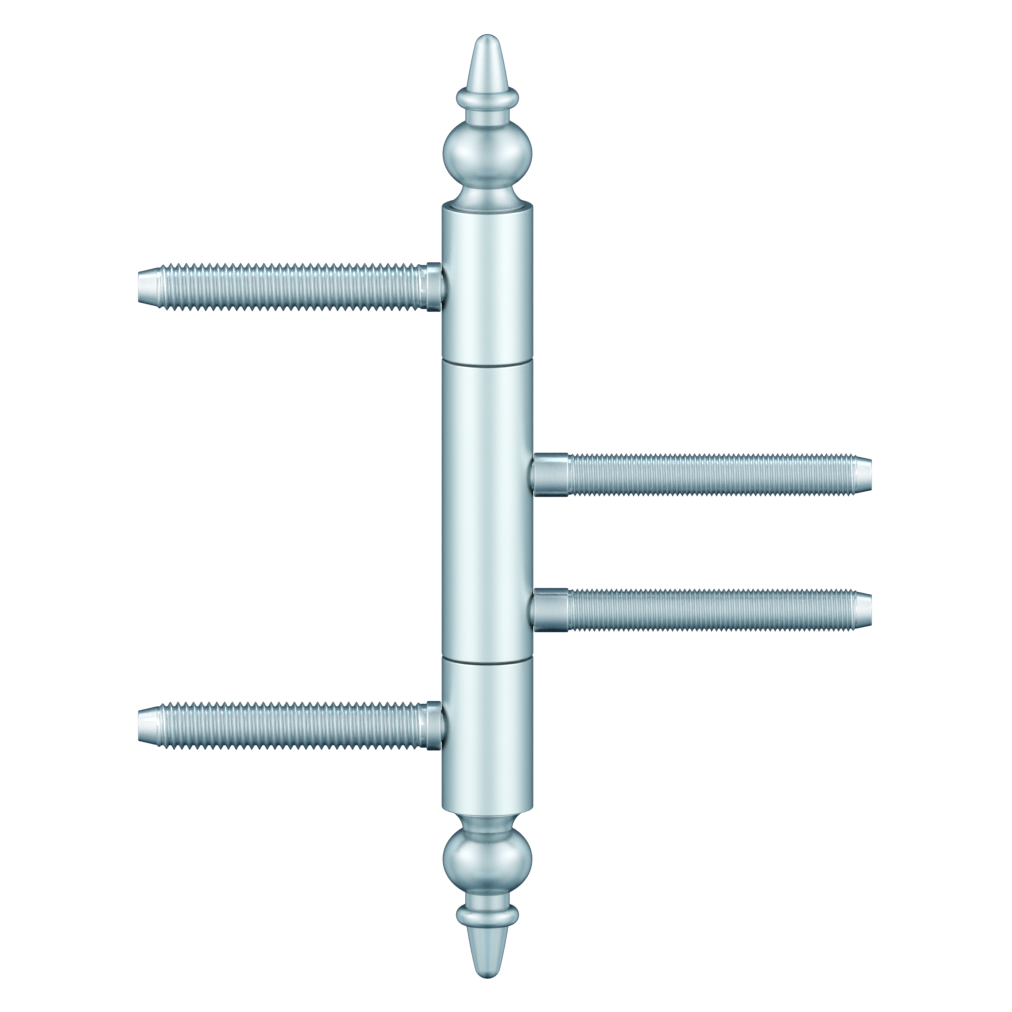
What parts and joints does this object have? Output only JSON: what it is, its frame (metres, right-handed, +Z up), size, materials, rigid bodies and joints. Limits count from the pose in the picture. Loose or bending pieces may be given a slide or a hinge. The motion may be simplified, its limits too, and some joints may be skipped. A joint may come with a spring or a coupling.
{
  "type": "drill-in hinge",
  "caption": "Drill-in door hinge with turned barrels on one pin, threaded bolts for door and frame, slide bushes and ball-and-cone finials at both ends.",
  "frame": {"origin": "on the hinge axis, at mid-height of the leaf barrel", "axes": "+Z up along the hinge axis; +X along the leaf bolts, away from the barrel; the frame bolts point along -X; the picture looks along +Y"},
  "size_m": [0.1596, 0.02, 0.2094],
  "materials": {
    "satin_plating": "satin zinc or nickel plating, pale with a cool blue cast",
    "bolt_zinc": "bright zinc-plated steel with rolled threads",
    "pin_steel": "ground bare steel",
    "bush_plastic": "dark matt bearing plastic",
    "screw_black": "blackened steel"
  },
  "bodies": {
    "frame": {"upper_frame_barrel": "satin_plating", "lower_frame_barrel": "satin_plating", "upper_finial": "satin_plating", "lower_finial": "satin_plating", "upper_frame_bolt": "bolt_zinc", "lower_frame_bolt": "bolt_zinc", "hinge_pin": "pin_steel", "upper_finial_stud": "pin_steel", "lower_finial_stud": "pin_steel", "upper_lock_screw": "screw_black", "lower_lock_screw": "screw_black"},
    "leaf": {"leaf_barrel": "satin_plating", "upper_bush": "bush_plastic", "lower_bush": "bush_plastic", "upper_leaf_bolt": "bolt_zinc", "lower_leaf_bolt": "bolt_zinc"}
  },
  "joints": [
    {"name": "leaf_swing", "type": "hinge", "parent": "frame", "child": "leaf", "pos_m": [0, 0, 0], "axis": [0, 0, 1], "continuous": true}
  ]
}
